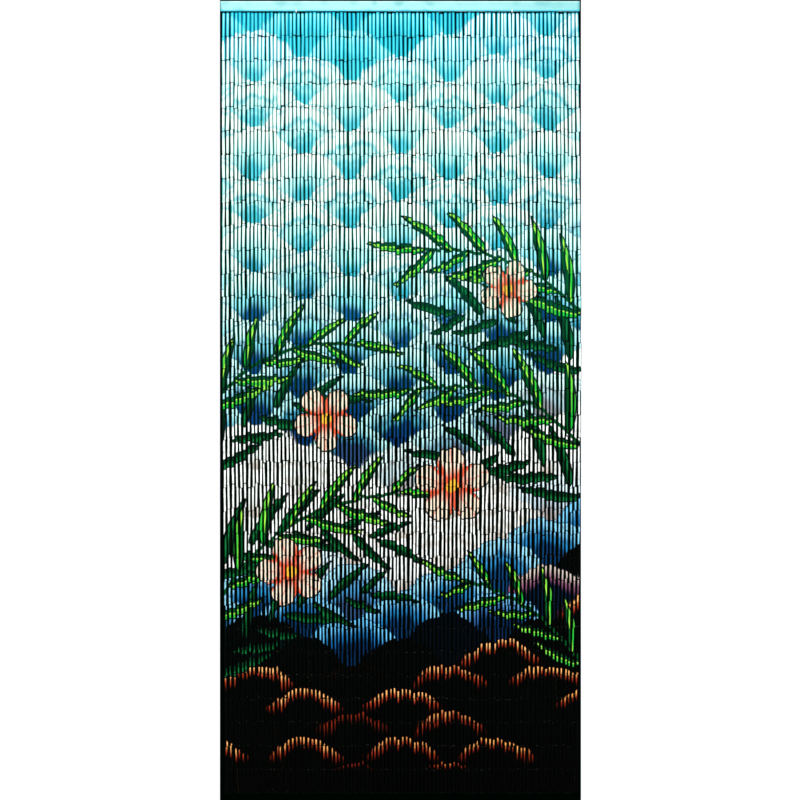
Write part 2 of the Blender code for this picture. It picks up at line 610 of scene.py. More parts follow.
def read_strands():
    """Ring places down every strand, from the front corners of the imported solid: x and z arrays,
    a row for each ring from the top and a column for each strand from the left."""
    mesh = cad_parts["strands"].data
    flat = np.empty(len(mesh.vertices) * 3)
    mesh.vertices.foreach_get("co", flat)
    points = flat.reshape(-1, 3)
    corner_width = 2e-5
    front = points[points[:, 1] < points[:, 1].min() + corner_width]
    front = np.unique(front.round(6), axis=0)
    front = front[np.argsort(-front[:, 2])]
    ring_step = 0.05
    breaks = np.flatnonzero(-np.diff(front[:, 2]) > ring_step) + 1
    rings = [ring[np.argsort(ring[:, 0])] for ring in np.split(front, breaks)]
    return np.array([ring[:, 0] for ring in rings]), np.array([ring[:, 2] for ring in rings])


def wander(chance, places):
    """Tube ends moved a little off their strand."""
    moved = chance.normal(0.0, JOINT_WANDER, places.shape)
    return places + np.clip(moved, -LARGEST_WANDER, LARGEST_WANDER)


def push_apart(top_x, bottom_x, joint_z, radius):
    """Moves tubes sideways, in place, until none overlaps its neighbours in the next strand: the one
    beside it and the ones a joint higher and lower."""
    top_z, bottom_z = joint_z[:, :-1], joint_z[:, 1:]
    count = radius.shape[1]
    for _ in range(PUSH_ROUNDS):
        for lower in (-1, 0, 1):
            left = slice(None, -1), slice(max(0, -lower), count - max(0, lower))
            right = slice(1, None), slice(max(0, lower), count - max(0, -lower))
            high = np.minimum(top_z[left], top_z[right])
            low = np.maximum(bottom_z[left], bottom_z[right])
            apart = np.full(high.shape, np.inf)
            for z in (low, high):
                x_left, x_right = (
                    bottom_x[side] + (top_x[side] - bottom_x[side])
                    * (z - bottom_z[side]) / (top_z[side] - bottom_z[side])
                    for side in (left, right)
                )
                apart = np.minimum(apart, x_right - x_left)
            push = np.clip(radius[left] + radius[right] + TOUCH_GAP - apart, 0.0, None) / 2
            push *= high > low
            for places in (top_x, bottom_x):
                places[left] -= push
                places[right] += push


def lay_out_tubes(ring_x, ring_z):
    """Joint places and tube sizes for all strands, as arrays with a row for each strand."""
    chance = np.random.default_rng(TUBE_SEED)
    strands = ring_x.shape[1]
    top = rail_low.z - LINK_DROP
    bottom = ring_z[-1] - END_SHOULDER
    joint = np.arange(TUBES_A_STRAND + 1)
    share = joint / TUBES_A_STRAND
    joint_z = top + (bottom[:, None] - top) * share
    # The strand's own shift grows down to the middle and fades at both ends
    fade = np.clip(np.minimum(joint, (TUBES_A_STRAND - joint) / FADE_JOINTS), 0.0, 1.0)
    fullness = np.sin(math.pi * share) ** SHIFT_FULLNESS
    size = SHIFT_AT_TOP + (SHIFT_AT_MIDDLE - SHIFT_AT_TOP) * fullness
    shift = chance.uniform(-1.0, 1.0, (strands, 1)) * size * fade
    drift = np.cumsum(chance.normal(0.0, JOINT_NOISE / 2, joint_z.shape), axis=1)
    drift -= drift[:, -1:] * share
    small = chance.normal(0.0, JOINT_NOISE, joint_z.shape) * (fade > 0)
    joint_z = joint_z + shift + (drift + small) * fade
    joint_x = np.array([
        np.interp(-joint_z[s], -ring_z[:, s], ring_x[:, s]) for s in range(strands)
    ])
    drift_x = chance.normal(0.0, STRAND_DRIFT, (strands, DRIFT_PLACES))
    drift_x *= np.linspace(1.0, DRIFT_AT_FOOT, DRIFT_PLACES)
    drift_at = np.linspace(0.0, 1.0, DRIFT_PLACES)
    joint_x += np.array([np.interp(share, drift_at, row) for row in drift_x])
    joint_y = np.full(joint_x.shape, (rail_low.y + rail_high.y) / 2)
    radius = TUBE_RADIUS * chance.uniform(THINNEST_SHARE, 1.0, (strands, TUBES_A_STRAND))
    gap = JOINT_GAP + chance.random(joint_z.shape) ** 2 * JOINT_GAP_SPREAD
    wide = chance.random(joint_z.shape) < WIDE_JOINT_SHARE
    gap += wide * chance.uniform(LEAST_WIDE, 1.0, joint_z.shape) * WIDE_JOINT
    low_top = (chance.random(strands) < LOW_TOP_SHARE) * chance.uniform(LEAST_LOW, 1.0, strands)
    uneven = chance.normal(0.0, TOP_UNEVEN, strands).clip(-LARGEST_UNEVEN, LARGEST_UNEVEN)
    joint_z[:, 0] -= uneven + low_top * LOW_TOP_DROP
    top_x = wander(chance, joint_x[:, :-1])
    bottom_x = wander(chance, joint_x[:, 1:])
    push_apart(top_x, bottom_x, joint_z, radius)
    return {
        "top_x": top_x,
        "bottom_x": bottom_x,
        "top_y": wander(chance, joint_y[:, :-1]),
        "bottom_y": wander(chance, joint_y[:, 1:]),
        "z": joint_z,
        "radius": radius,
        "gap": gap,
        "turn": chance.normal(0.0, TUBE_TURN, radius.shape),
        "tone": chance.random(radius.shape),
        "strand_tone": np.repeat(chance.random((strands, 1)), TUBES_A_STRAND, axis=1),
        "paint_shift": chance.normal(0.0, PAINT_SHIFT, (strands, 1)) * np.ones(radius.shape),
        "painted_x": np.repeat(ring_x[0][:, None], TUBES_A_STRAND, axis=1),
    }


def tube_rings(length, radius):
    """For every tube's rings from its top mouth to its bottom one: the distance from the top and
    the share of the tube's radius. Also which rings are outside the bore."""
    inset, wide = np.array(TUBE_END).T
    straight = inset[-1]
    run = np.arange(1, RUN_RINGS + 1) / (RUN_RINGS + 1)
    length = length[:, None]
    top = np.broadcast_to(inset, (len(length), len(inset)))
    along = np.hstack([top, straight + run * (length - 2 * straight), length - inset[::-1]])
    wide = np.concatenate([wide, np.ones(RUN_RINGS), wide[::-1]])
    return along, np.where(wide > 0, wide, BORE_RADIUS / radius[:, None]), wide > 0


def tube_vertices(layout, strands):
    """Vertex places of these strands' tubes, and what the paint needs to know at each vertex."""
    part = {name: values[strands] for name, values in layout.items()}
    column = {name: values.reshape(-1, 1, 1) for name, values in part.items()}
    number = np.arange(TUBES_A_STRAND)
    gap_above = np.where(number == 0, 0.0, part["gap"][:, :-1] / 2)
    gap_below = np.where(number == TUBES_A_STRAND - 1, 0.0, part["gap"][:, 1:] / 2)
    top_z = part["z"][:, :-1] - gap_above
    bottom_z = part["z"][:, 1:] + gap_below
    length = (top_z - bottom_z).reshape(-1)
    radius = part["radius"].reshape(-1)
    along, share, outer = tube_rings(length, radius)
    # Bamboo is a little thicker towards one end and swells unevenly
    chance = np.random.default_rng(TUBE_SEED + 1 + strands[0])
    middle = (along / length[:, None]) - 0.5
    swell = MEAN_SWELL + chance.uniform(-TAPER, TAPER, (length.size, 1)) * middle
    swell -= chance.uniform(0.0, WAIST, (length.size, 1)) * middle**2
    swell += chance.uniform(-RING_SWELL, RING_SWELL, share.shape)
    share = np.where(outer, share * swell, share)
    angle = 2 * math.pi * np.arange(TUBE_SIDES) / TUBE_SIDES
    ring_radius = (radius[:, None] * share)[:, :, None]
    out_x = ring_radius * np.sin(angle)
    out_y = -ring_radius * np.cos(angle)
    blend = (along / length[:, None])[:, :, None]
    centre_x = column["top_x"] * (1 - blend) + column["bottom_x"] * blend
    centre_y = column["top_y"] * (1 - blend) + column["bottom_y"] * blend
    z = np.broadcast_to((top_z.reshape(-1, 1) - along)[:, :, None], out_x.shape)
    places = np.stack([centre_x + out_x, centre_y + out_y, z], axis=-1)
    turned = angle - column["turn"]
    painted = np.stack([
        column["painted_x"] + ring_radius * np.sin(turned),
        z + column["paint_shift"],
        np.broadcast_to(np.cos(turned), z.shape),
    ], axis=-1)
    from_end = np.minimum(along, length[:, None] - along)
    from_end = np.where(outer, from_end, IN_THE_BORE)[:, :, None]
    tube = np.stack([
        np.broadcast_to(values, z.shape)
        for values in (from_end, column["tone"], column["strand_tone"])
    ], axis=-1)
    return places, painted, tube


def swept_faces(count, rings, sides, closed=False):
    """Quads round many swept shapes: each ring to the next, and if closed the last to the first."""
    ring = np.arange(rings if closed else rings - 1)[:, None]
    side = np.arange(sides)[None, :]
    next_ring = (ring + 1) % rings
    next_side = (side + 1) % sides
    quad = np.stack([
        ring * sides + side,
        next_ring * sides + side,
        next_ring * sides + next_side,
        ring * sides + next_side,
    ], axis=-1).reshape(-1, 4)
    start = np.arange(count)[:, None, None] * rings * sides
    return (quad[None] + start).reshape(-1, 4)


def tube_map(count):
    """Flat places for every face corner: a cell of the square for each tube, unrolled upright."""
    rows = math.ceil(count / MAP_COLUMNS)
    ring, side = np.indices((RING_COUNT, TUBE_SIDES))
    heights = np.array(MAP_HEIGHTS)
    low, high = heights[ring], heights[ring + 1]
    corner = np.stack([
        np.stack([place / TUBE_SIDES, height], -1)
        for place, height in ((side, low), (side, high), (side + 1, high), (side + 1, low))
    ], axis=2).reshape(-1, 2)
    corner = MAP_MARGIN + (1 - 2 * MAP_MARGIN) * corner
    cell = np.stack([np.arange(count) % MAP_COLUMNS, np.arange(count) // MAP_COLUMNS], -1)
    flat = (cell[:, None, :] + corner[None]) / (MAP_COLUMNS, rows)
    flat[..., 1] = 1.0 - flat[..., 1]
    return flat.reshape(-1, 2)


def mesh_object(name, vertices, faces):
    """A mesh object from arrays of vertices and of faces that all have the same number of corners."""
    corners = faces.shape[1]
    mesh = bpy.data.meshes.new(name)
    mesh.vertices.add(len(vertices))
    mesh.vertices.foreach_set("co", np.ascontiguousarray(vertices, np.float32).ravel())
    mesh.loops.add(faces.size)
    mesh.loops.foreach_set("vertex_index", faces.astype(np.int32).ravel())
    mesh.polygons.add(len(faces))
    mesh.polygons.foreach_set("loop_start", np.arange(0, faces.size, corners, dtype=np.int32))
    mesh.update(calc_edges=True)
    mesh.polygons.foreach_set("use_smooth", np.ones(len(faces), bool))
    return placed(name, mesh)


def set_attribute(mesh, name, values):
    layer = mesh.attributes.new(name, "FLOAT_VECTOR", "POINT")
    layer.data.foreach_set("vector", np.ascontiguousarray(values, np.float32).ravel())


def leaf_table(branches, seed):
    """Every leaf of these branches: its foot, direction, length and side of the stem. Also the
    stems, as rows of points."""
    leaves = []
    stems = []
    chance = np.random.default_rng(seed)
    for start, end, bow, pairs, leaf_length in branches:
        start = np.array(start)
        run = np.array(end) - start
        reach = float(np.hypot(*run))
        normal = np.array((-run[1], run[0])) / reach
        steps = np.linspace(0.0, 1.0, 4 * pairs + 1)
        bowed = bow * 4 * steps * (1 - steps)
        stem = start + run * steps[:, None] + normal * bowed[:, None]
        stems.append(stem)
        slope = np.gradient(stem, axis=0)
        heading = np.arctan2(slope[:, 1], slope[:, 0])
        for pair in range(pairs):
            for side in (-1, 1):
                step = 4 * pair + 2 + side
                slant = side * (LEAF_SLANT + chance.uniform(-SLANT_SPREAD, SLANT_SPREAD))
                taper = 1.0 - LEAF_TAPER * steps[step] + chance.uniform(-LEAF_SPREAD, LEAF_SPREAD)
                leaves.append((*stem[step], heading[step] + slant, leaf_length * taper, side))
        leaves.append((*stem[-1], heading[-1], leaf_length * LAST_LEAF_SHARE, 1))
    return leaves, stems


def paint_leaves(x, z, leaves):
    """At each painted point: depth inside the foremost leaf's outline, place across the leaf and
    place along it. Outside the leaves the depth is negative."""
    found = np.zeros(x.shape + (3,))
    found[..., 0] = -1.0
    for foot_x, foot_z, heading, length, side in leaves:
        right = x - foot_x
        up = z - foot_z
        near = (np.abs(right) < length * LEAF_NEAR) & (np.abs(up) < length * LEAF_NEAR)
        along = (right[near] * math.cos(heading) + up[near] * math.sin(heading)) / length
        across = -right[near] * math.sin(heading) + up[near] * math.cos(heading)
        across = across + side * LEAF_BEND * length * along**2
        inside = np.clip(along, 0.0, 1.0)
        half = LEAF_HALF_WIDTH * length * inside**LEAF_FOOT_POWER * (1 - inside) ** LEAF_TIP_POWER
        half = half - length * np.abs(along - inside)
        depth = half - np.abs(across)
        better = depth > found[near][:, 0]
        where = np.flatnonzero(near)[better]
        found[where] = np.stack([depth[better], across[better] * side, along[better]], -1)
    return found


def paint_stems(x, z, stems):
    """Signed distance across the nearest stem, or far off where there is none."""
    nearest = np.full(x.shape, 1.0)
    for stem in stems:
        for (x0, z0), (x1, z1) in zip(stem[:-1], stem[1:]):
            reach = math.hypot(x1 - x0, z1 - z0)
            ux, uz = (x1 - x0) / reach, (z1 - z0) / reach
            near = np.abs(z - (z0 + z1) / 2) < reach + STEM_NEAR
            along = (x[near] - x0) * ux + (z[near] - z0) * uz
            across = (z[near] - z0) * ux - (x[near] - x0) * uz
            beyond = np.maximum(np.maximum(-along, along - reach), 0.0)
            signed = across + np.copysign(beyond, across)
            where = np.flatnonzero(near)
            better = np.abs(signed) < np.abs(nearest.flat[where])
            nearest.flat[where[better]] = signed[better]
    return nearest


def paint_blossoms(x, z):
    """At each painted point: depth inside the nearest blossom's outline, share of its radius, and
    place across the petal."""
    found = np.zeros(x.shape + (3,))
    found[..., 0] = -1.0
    for middle_x, middle_z, radius, start_turn in BLOSSOMS:
        right = x - middle_x
        up = z - middle_z
        reach = np.hypot(right, up)
        turn = np.arctan2(up, right) + start_turn
        petal = np.abs(np.cos(turn * PETALS / 2)) ** PETAL_POWER
        outline = radius * (1 - PETAL_DEPTH + PETAL_DEPTH * petal)
        depth = outline - reach
        better = depth > found[..., 0]
        found[better] = np.stack([
            depth[better],
            reach[better] / radius,
            np.sin(turn[better] * PETALS / 2),
        ], -1)
    return found


def add_tubes(layout):
    """The tubes, as one piece for each few strands."""
    material = painted_bamboo()
    leaves, stems = leaf_table(BRANCHES, LEAF_SEED)
    shaded, _ = leaf_table(SHADED_BRANCHES, SHADED_SEED)
    strands = len(layout["z"])
    for first in range(0, strands, STRANDS_A_PIECE):
        group = np.arange(first, min(first + STRANDS_A_PIECE, strands))
        places, painted, tube = tube_vertices(layout, group)
        faces = swept_faces(len(places), RING_COUNT, TUBE_SIDES, closed=True)
        piece = mesh_object(f"tubes_{first // STRANDS_A_PIECE + 1:02d}", places.reshape(-1, 3), faces)
        mesh = piece.data
        mesh.set_sharp_from_angle(angle=TUBE_SHARP)
        layer = mesh.uv_layers.new(name="OFBake", do_init=False)
        layer.uv.foreach_set("vector", tube_map(len(places)).astype(np.float32).ravel())
        flat = painted.reshape(-1, 3)
        x, z = flat[:, 0], flat[:, 1]
        stem = paint_stems(x, z, stems)
        set_attribute(mesh, "painted", flat)
        set_attribute(mesh, "tube", tube.reshape(-1, 3))
        set_attribute(mesh, "leaf", paint_leaves(x, z, leaves))
        set_attribute(mesh, "shaded_leaf", paint_leaves(x, z, shaded))
        set_attribute(mesh, "blossom", paint_blossoms(x, z))
        set_attribute(mesh, "stem", np.stack([stem, stem * 0, stem * 0], -1))
        mesh.materials.append(material)
        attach(piece, "root")
        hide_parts("strands")


# The painted pattern as shader nodes


def nearest_scale(x, up, odd):
    """Distance from the middle of the nearest scale in a row, with every other row set over."""
    moved = x - odd * SCALE_RADIUS
    column = math_node("ROUND", moved / (2 * SCALE_RADIUS))
    off = moved - column * (2 * SCALE_RADIUS)
    reach = math_node("SQRT", off * off + up * up) / SCALE_RADIUS
    return reach, column, x - off


def scale_pattern(x, z):
    """Overlapping round scales. Gives the place in the foremost scale, 0 at its middle and 1 at its
    edge, where its middle is and a number of its own."""
    step = SCALE_RADIUS / 2
    rows = math_node("FLOOR", z / step)
    up = z - rows * step
    results = []
    for below in (1.0, 0.0, -1.0):
        row = rows - below
        odd = math_node("FLOORED_MODULO", row, 2.0)
        reach, column, middle_x = nearest_scale(x, up + below * step, odd)
        own = row * OWN_BY_ROW + column * OWN_BY_COLUMN
        results.append((reach, middle_x, row * step, own))
    found = results[2]
    for front in (results[1], results[0]):
        inside = math_node("LESS_THAN", front[0], 1.0)
        found = [choose(inside, back, near) for back, near in zip(found, front)]
    reach, middle_x, middle_z, own = found
    chance = new_node("ShaderNodeTexWhiteNoise", own)
    chance.noise_dimensions = "1D"
    plug(chance.inputs["W"], own)
    return reach, middle_x, middle_z, Value(chance.outputs["Value"])


def curtain_height(z):
    """0 at the curtain's foot, 1 at its rail."""
    return z / CURTAIN_DROP + 1.0


def wobbled(painted, value, wobble):
    """A place moved a little by soft noise over the painted surface."""
    soft = noise(stretched(painted, wobble["stretch"]), wobble["scale"])
    return value + (soft - 0.5) * wobble["size"]


def scales_colour(painted, x, z, strand_tone):
    """Scales in the paints of their height: a dark body, lit towards its edge in brush strokes."""
    x = wobbled(painted, x, WOBBLE_X)
    z = wobbled(painted, z, WOBBLE_Z)
    reach, middle_x, middle_z, own = scale_pattern(x, z)
    swell = math_node("SINE", middle_x * BAND_WAVES + BAND_START) * BAND_SWELL
    height = curtain_height(middle_z) + swell - middle_x * BAND_SLOPE + (own - 0.5) * OWN_HEIGHT
    streak = noise(stretched(painted, SCALE_STREAKS), 1.0, 3.0, 0.6)
    stroke = streak - 0.5 + (strand_tone - 0.5) * 0.5
    brushed = reach + stroke * STROKE_REACH
    start = number_ramp(height, LIT_FROM)
    lit = clamped((brushed - start) / (FULLY_LIT - start)) * between(reach, *SCALE_EDGE)
    up = (z - middle_z) / (reach * SCALE_RADIUS)
    crest = between(up, *CREST_RISE) * between(own, *CREST_SCALES)
    crest = crest * between(curtain_height(z), *UNLIT_FOOT)
    low = between(height, CREST_BELOW, CREST_BELOW - CREST_FADE)
    lit = lit * choose(low, 1.0, crest)
    body = colour_ramp(height, BODY_PAINT)
    colour = mix(between(lit, *LIT_INNER), body, colour_ramp(height, INNER_PAINT))
    colour = mix(between(lit, *LIT_EDGE), colour, colour_ramp(height, EDGE_PAINT))
    wave = math_node("COSINE", (brushed - ARC_OFFSET) * (2 * math.pi / ARC_STEP))
    arcs = between(wave, *ARC_SHOWS) * number_ramp(height, ARCS)
    arcs = arcs * between(own, *ARC_SCALES) * between(reach, *ARC_ENDS)
    return mix(arcs, colour, body)


def leaves_colour(tree, name, under, dark, green, light):
    """Leaves over what is under them: one half dark, one green, a light rib and a thin outline."""
    _, inside, across, along = attribute(tree, name)
    side = between(across, -EDGE_WIDTH, EDGE_WIDTH)
    leaf = mix(side, dark, green)
    tip = between(along, *LEAF_TIP) * LEAF_TIP_LIGHT
    leaf = mix(tip * side, leaf, light)
    rib = between(math_node("ABSOLUTE", across), *RIB_LINE)
    leaf = mix(rib, leaf, light)
    under = mix(between(inside, *LEAF_LINE), under, LINE_PAINT)
    return mix(between(inside, 0.0, EDGE_WIDTH), under, leaf)


def blossoms_colour(tree, under):
    _, depth, reach, petal = attribute(tree, "blossom")
    across = math_node("ABSOLUTE", petal)
    colour = mix(between(reach, *CREAM_FROM), CORAL, BLOSSOM_CREAM)
    colour = mix(between(across, *PETAL_RIB) * PETAL_RIB_SHARE, colour, CORAL)
    colour = mix(between(across, *PETAL_GAP), colour, CORAL)
    colour = mix(between(reach, *HEART_EDGE), colour, HEART)
    under = mix(between(depth, *BLOSSOM_LINE), under, LINE_PAINT)
    return mix(between(depth, 0.0, EDGE_WIDTH), under, colour)


def picture_colour(tree, painted, x, z, strand_tone):
    """The whole picture: scales, then two layers of leaves with their stems, then blossoms."""
    _, stem, _, _ = attribute(tree, "stem")
    picture = scales_colour(painted, x, z, strand_tone)
    picture = leaves_colour(tree, "shaded_leaf", picture, LEAF_SHADE, LEAF_SHADE_EDGE, LEAF_DARK)
    picture = mix(between(math_node("ABSOLUTE", stem), *STEM_LINE), picture, LEAF_DARK)
    picture = leaves_colour(tree, "leaf", picture, LEAF_DARK, LEAF_GREEN, LEAF_LIGHT)
    return blossoms_colour(tree, picture)


def side_shaded(picture, z, facing, streak, tone):
    """The picture with painted shade deepening it towards a tube's sides, where the dye also shows
    through the thinner paint, and streaked.
    """
    away = 1.0 - clamped(facing)
    # Painted shade: the picture deepens towards the tube's sides
    side_shade = new_node("ShaderNodeGamma", picture)
    plug(side_shade.inputs["Color"], picture)
    plug(side_shade.inputs["Gamma"], away * SIDE_SHADE_GAMMA + 1.0)
    # Painted shade and the dye showing through tint the sides
    dye_and_shade_tint = colour_ramp(curtain_height(z), SIDE_DYE_AND_SHADE_TINT)
    dye_and_shade_tint = mix(clamped(away * SIDE_DYE_AND_SHADE_TINT_RISE), (1.0, 1.0, 1.0), dye_and_shade_tint)
    dye_and_shade_tinted = vector_math("MULTIPLY", Value(side_shade.outputs[0]), dye_and_shade_tint)
    shade = streak * STREAK_SHADE + (tone * TONE_SHADE + LEAST_SHADE)
    return vector_math("SCALE", dye_and_shade_tinted, shade, "Scale")


def painted_bamboo():
    """Bamboo dyed all round but the back, with a picture brushed on the front of each tube."""
    material, tree, shader = new_material("painted_bamboo")
    painted, x, z, facing = attribute(tree, "painted")
    _, from_end, tone, strand_tone = attribute(tree, "tube")
    place = object_place(tree)
    streak = noise(stretched(painted, TUBE_STREAKS), 1.0, 3.0, 0.6)
    picture = picture_colour(tree, painted, x, z, strand_tone)
    picture = side_shaded(picture, z, facing, streak, tone)

    # Bare bamboo at the back, then the dye, then the bore in bamboo brown darkened as painted shade,
    # then the picture on the front
    grain = noise(stretched(place, BAMBOO_GRAIN), 1.0, 4.0, 0.65)
    bare = mix(grain, BAMBOO_DARK, BAMBOO_PALE)
    fray = noise(stretched(place, PAINT_FRAY), 1.0, 3.0, 0.7)
    round_place = facing + (fray - 0.5) * FRAY_REACH
    undercoat = colour_ramp(curtain_height(z), UNDERCOAT)
    colour = mix(between(round_place, *DYE_EDGE), bare, undercoat)
    colour = mix(between(from_end, *BORE_EDGE), colour, BORE_SHADE_BROWN)
    past_limit = round_place - number_ramp(curtain_height(z), PAINT_REACH)
    chipped = from_end + (fray - CHIP_LEVEL) * CHIP_DEPTH
    coat = between(past_limit, *COAT_EDGE) * between(chipped, -CHIP_EDGE, CHIP_EDGE)
    colour = mix(coat, colour, picture)
    # Each strand's top was painted over together with the rail's lower edge, and its teal there is also
    # painted shade under the rail
    _, _, object_z = separated(place)
    # stain marks the tops' teal: carried-over paint and painted shade under the rail
    stain = between(object_z, rail_low.z - STAIN_AND_SHADE_TO, rail_low.z - STAIN_AND_SHADE_FROM)
    stain = stain * between(facing, *STAIN_AND_SHADE_ROUND)
    plug(shader.inputs["Base Color"], mix(stain * STAIN_AND_SHADE_STRENGTH, colour, TOP_STAIN_AND_SHADE))

    plug(shader.inputs["Roughness"], streak * 0.20 + 0.46)
    shader.inputs["Specular IOR Level"].default_value = 0.02
    fine = bump(grain, 0.35, 0.00035)
    plug(shader.inputs["Normal"], bump(streak, 0.25, 0.00025, fine))
    return material


# Wire links


def eye_lines(x, y, z, sideways, towards, leg):
    """Centre lines of wire eyes: legs that come from one side of the joint and a bend past it."""
    bend = [(side * EYE_HALF_WIDTH, up * EYE_DEPTH) for side, up in EYE_BEND]
    shape = [(-EYE_HALF_WIDTH, leg), *bend, (EYE_HALF_WIDTH, leg)]
    base = np.stack([x, y, z], -1).reshape(-1, 1, 3)
    sideways = np.array(sideways)
    offsets = np.array([
        side * sideways + np.array((0.0, 0.0, towards * up)) for side, up in shape
    ])
    return base + offsets


def wires(lines, sideways):
    """Vertices and outward faces of thin wires along these rows of points. sideways is the
    direction across the eyes, as a unit vector."""
    turns = 2 * math.pi * np.arange(WIRE_SIDES) / WIRE_SIDES
    tangent = np.gradient(lines, axis=1)
    tangent /= np.linalg.norm(tangent, axis=-1, keepdims=True)
    out_of_plane = np.cross(sideways, (0.0, 0.0, 1.0))
    second = np.cross(tangent, out_of_plane)
    ring = np.cos(turns)[:, None] * out_of_plane + np.sin(turns)[:, None] * second[:, :, None, :]
    vertices = lines[:, :, None, :] + WIRE_RADIUS * ring
    faces = swept_faces(len(lines), lines.shape[1], WIRE_SIDES)
    return vertices.reshape(-1, 3), faces[:, [0, 3, 2, 1]]


def add_links(layout):
    """Two crossed eyes at every joint: one from the tube above and one from the tube below."""
    z = layout["z"]
    joint_x = (layout["bottom_x"][:, :-1] + layout["top_x"][:, 1:]) / 2
    joint_y = (layout["bottom_y"][:, :-1] + layout["top_y"][:, 1:]) / 2
    first_x, first_y = layout["top_x"][:, :1], layout["top_y"][:, :1]
    x, y = np.hstack([first_x, joint_x]), np.hstack([first_y, joint_y])
    upper = eye_lines(joint_x, joint_y, z[:, 1:-1], ALONG_RAIL, 1.0, EYE_LEG)
    top_joint = z[:, :-1].copy()
    top_joint[:, 0] += LINK_DROP / 2
    lower = eye_lines(x, y, top_joint, OUT_OF_RAIL, -1.0, EYE_LEG)
    above, above_faces = wires(upper, ALONG_RAIL)
    below, below_faces = wires(lower, OUT_OF_RAIL)
    vertices = np.concatenate([above, below])
    faces = np.concatenate([above_faces, below_faces + len(above)])
    piece = mesh_object("links", vertices, faces)
    piece.data.materials.append(link_wire())
    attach(piece, "root")


def add_staples(layout):
    """The wire staples in the rail's underside that the first eyes hang on."""
    x, y = layout["top_x"][:, 0], layout["top_y"][:, 0]
    z = np.full(x.shape, rail_low.z - LINK_DROP / 2)
    lines = eye_lines(x, y, z, ALONG_RAIL, 1.0, LINK_DROP / 2 + STAPLE_LEG)
    vertices, faces = wires(lines, ALONG_RAIL)
    piece = mesh_object("staples", vertices, faces)
    piece.data.materials.append(painted_wire())
    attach(piece, "root")


def in_patches(name, scale, paints):
    """A material in patches of two paints, with its shader and the patches."""
    material, tree, shader = new_material(name)
    patch = noise(object_place(tree), scale, 3.0, 0.6)
    plug(shader.inputs["Base Color"], mix(patch, *paints))
    return material, shader, patch


def painted_wire():
    """Wire that was painted over together with the rail and the tubes' tops."""
    material, shader, _ = in_patches("painted_wire", 500.0, WIRE_PAINT)
    shader.inputs["Roughness"].default_value = 0.5
    shader.inputs["Specular IOR Level"].default_value = 0.1
    return material


def link_wire():
    """Dull steel wire, darker where it is stained."""
    material, shader, stain = in_patches("link_wire", 700.0, STEEL)
    plug(shader.inputs["Roughness"], stain * 0.25 + 0.46)
    shader.inputs["Metallic"].default_value = 1.0
    return material


# Rail


def finished(name, body, material):
    """A smooth object of this material from a bmesh, which is freed."""
    mesh = bpy.data.meshes.new(name)
    body.to_mesh(mesh)
    body.free()
    mesh.shade_smooth()
    mesh.materials.append(material)
    return placed(name, mesh)


def rail_profile():
    """The rail's rounded section, as depth and height from its middle, once round."""
    half_y = (rail_high.y - rail_low.y) / 2 - RAIL_CORNER
    half_z = (rail_high.z - rail_low.z) / 2 - RAIL_CORNER
    points = []
    for corner, (sign_y, sign_z) in enumerate(((1, 1), (-1, 1), (-1, -1), (1, -1))):
        for step in range(RAIL_CORNER_STEPS + 1):
            angle = (corner + step / RAIL_CORNER_STEPS) * math.pi / 2
            points.append((
                sign_y * half_y + RAIL_CORNER * math.cos(angle),
                sign_z * half_z + RAIL_CORNER * math.sin(angle),
            ))
    return np.array(points)


def add_rail():
    """The painted slat: its rounded section along the whole length, a little uneven by hand."""
    profile = rail_profile()
    middle = (rail_low + rail_high) / 2
    half = (rail_high.x - rail_low.x) / 2
    # Stations near each end draw in to a rounded end face
    inner = np.linspace(-half + RAIL_CORNER, half - RAIL_CORNER, RAIL_STATIONS)[1:-1]
    stations = [(-half + inset, share) for inset, share in RAIL_ENDS]
    stations += [(x, 1.0) for x in inner]
    stations += [(half - inset, share) for inset, share in reversed(RAIL_ENDS)]
    chance = np.random.default_rng(RAIL_SEED)
    spare = 6
    rough = chance.normal(0.0, 1.0, (len(stations) + 2 * spare, len(profile)))
    kernel = np.hanning(UNEVEN_REACH)
    kernel /= kernel.sum()
    soft = np.array([np.convolve(column, kernel, "same") for column in rough.T]).T
    soft = soft[spare:-spare] * RAIL_UNEVEN
    body = bmesh.new()
    loops = []
    for (x, share), offsets in zip(stations, soft):
        loop = []
        for (y, z), offset in zip(profile, offsets):
            inset = 1.0 - min(abs(offset), RAIL_UNEVEN) * UNEVEN_INSET
            y_in = y * (1 - (1 - share) * END_FLATTEN) * inset
            z_in = z * (1 - (1 - share) * END_LOWER) * inset
            loop.append(body.verts.new((x, middle.y + y_in, middle.z + z_in)))
        loops.append(loop)
    count = len(profile)
    for first, second in zip(loops[:-1], loops[1:]):
        for k in range(count):
            body.faces.new((first[k], first[(k + 1) % count], second[(k + 1) % count], second[k]))
    body.faces.new(loops[0][::-1])
    body.faces.new(loops[-1])
    bmesh.ops.recalc_face_normals(body, faces=body.faces)
    piece = finished("rail_slat", body, rail_paint())
    piece.data.set_sharp_from_angle(angle=RAIL_SHARP)
    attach(piece, "root")
    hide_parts("rail")


